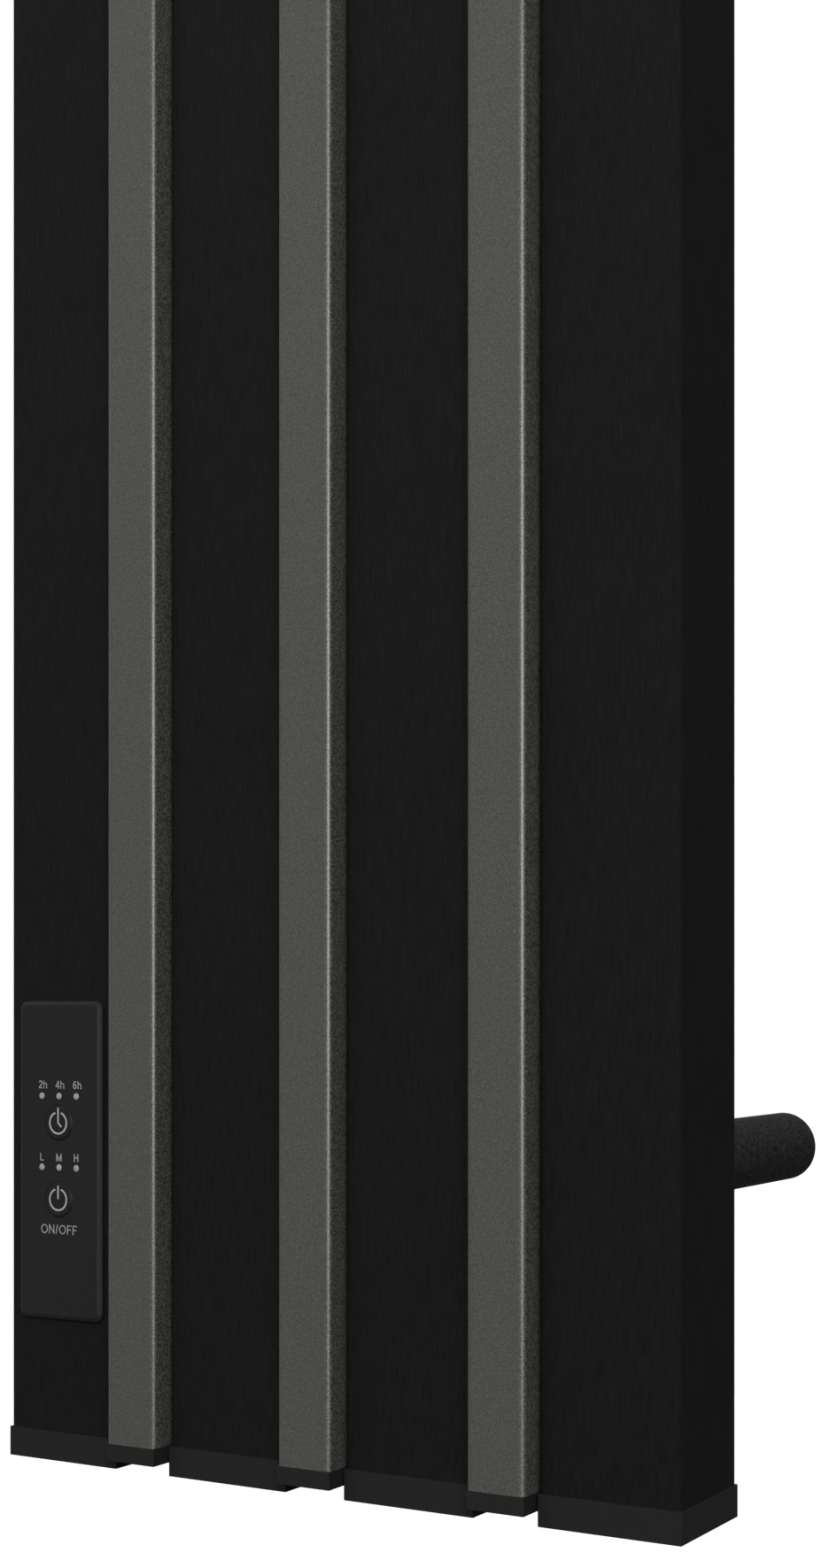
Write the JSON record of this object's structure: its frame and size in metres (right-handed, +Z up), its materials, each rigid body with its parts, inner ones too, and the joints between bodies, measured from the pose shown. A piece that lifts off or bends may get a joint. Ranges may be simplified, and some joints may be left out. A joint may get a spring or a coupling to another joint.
{
  "type": "heated towel rail",
  "caption": "Upright electric heated towel rail: wide black bars alternate with narrow grey bars standing proud, on cross rails and round wall stand-offs, with a push-button control plate.",
  "frame": {"origin": "on the wall plane, in the middle of the four wall screw holes", "axes": "+X to the right seen from the front, +Y towards the wall, +Z up"},
  "size_m": [0.2832, 0.1565, 1.2012],
  "materials": {
    "black_aluminium": "black anodised, brushed along the bar",
    "grey_aluminium": "anthracite metallic powder coat, fine grain",
    "black_plastic": "moulded, satin",
    "black_painted_steel": "black paint",
    "black_textured_aluminium": "black fine-texture powder coat",
    "zinc_plated_steel": "zinc plated",
    "sheath_steel": "drawn sheath",
    "black_rubber": "matte",
    "black_control_plastic": "moulded, satin",
    "board_green": "solder resist",
    "clear_lens": "frosted lens",
    "component_plastic": "moulded"
  },
  "bodies": {
    "frame": {"bar_nuts": "zinc_plated_steel", "bar_screws": "zinc_plated_steel", "board_screws": "zinc_plated_steel", "button_switches": "component_plastic", "cable_gland": "black_plastic", "control_board": "board_green", "control_faceplate": "black_control_plastic", "control_housing": "black_control_plastic", "cross_rail_lower": "black_painted_steel", "cross_rail_upper": "black_painted_steel", "earth_screw": "zinc_plated_steel", "gland_nut": "black_plastic", "grub_screws": "zinc_plated_steel", "heating_element_1": "sheath_steel", "heating_element_2": "sheath_steel", "heating_element_3": "sheath_steel", "heating_element_4": "sheath_steel", "indicator_leds": "clear_lens", "light_pipes": "clear_lens", "narrow_bar_1": "grey_aluminium", "narrow_bar_2": "grey_aluminium", "narrow_bar_3": "grey_aluminium", "narrow_bottom_cap_1": "black_plastic", "narrow_bottom_cap_2": "black_plastic", "narrow_bottom_cap_3": "black_plastic", "narrow_top_cap_1": "black_plastic", "narrow_top_cap_2": "black_plastic", "narrow_top_cap_3": "black_plastic", "power_relay": "component_plastic", "rail_end_plugs": "black_plastic", "standoff_lower_left": "black_textured_aluminium", "standoff_lower_right": "black_textured_aluminium", "standoff_nuts": "zinc_plated_steel", "standoff_screws": "zinc_plated_steel", "standoff_upper_left": "black_textured_aluminium", "standoff_upper_right": "black_textured_aluminium", "temperature_sensor": "component_plastic", "terminal_block": "component_plastic", "thermal_cutout": "component_plastic", "wall_plate_lower_left": "zinc_plated_steel", "wall_plate_lower_right": "zinc_plated_steel", "wall_plate_upper_left": "zinc_plated_steel", "wall_plate_upper_right": "zinc_plated_steel", "wide_bar_1": "black_aluminium", "wide_bar_2": "black_aluminium", "wide_bar_3": "black_aluminium", "wide_bar_4": "black_aluminium", "wide_bottom_cap_1": "black_plastic", "wide_bottom_cap_2": "black_plastic", "wide_bottom_cap_3": "black_plastic", "wide_bottom_cap_4": "black_plastic", "wide_top_cap_1": "black_plastic", "wide_top_cap_2": "black_plastic", "wide_top_cap_3": "black_plastic", "wide_top_cap_4": "black_plastic", "wire_grommets": "black_rubber", "wiring_loom": "black_rubber"},
    "timer_button": {"timer_button": "black_control_plastic"},
    "power_button": {"power_button": "black_control_plastic"}
  },
  "joints": [
    {"name": "timer_press", "type": "slide", "parent": "frame", "child": "timer_button", "axis": [0, 1, 0], "range_m": [0, 0.0006], "stiffness_N_per_m": 2500},
    {"name": "power_press", "type": "slide", "parent": "frame", "child": "power_button", "axis": [0, 1, 0], "range_m": [0, 0.0006], "stiffness_N_per_m": 2500}
  ]
}
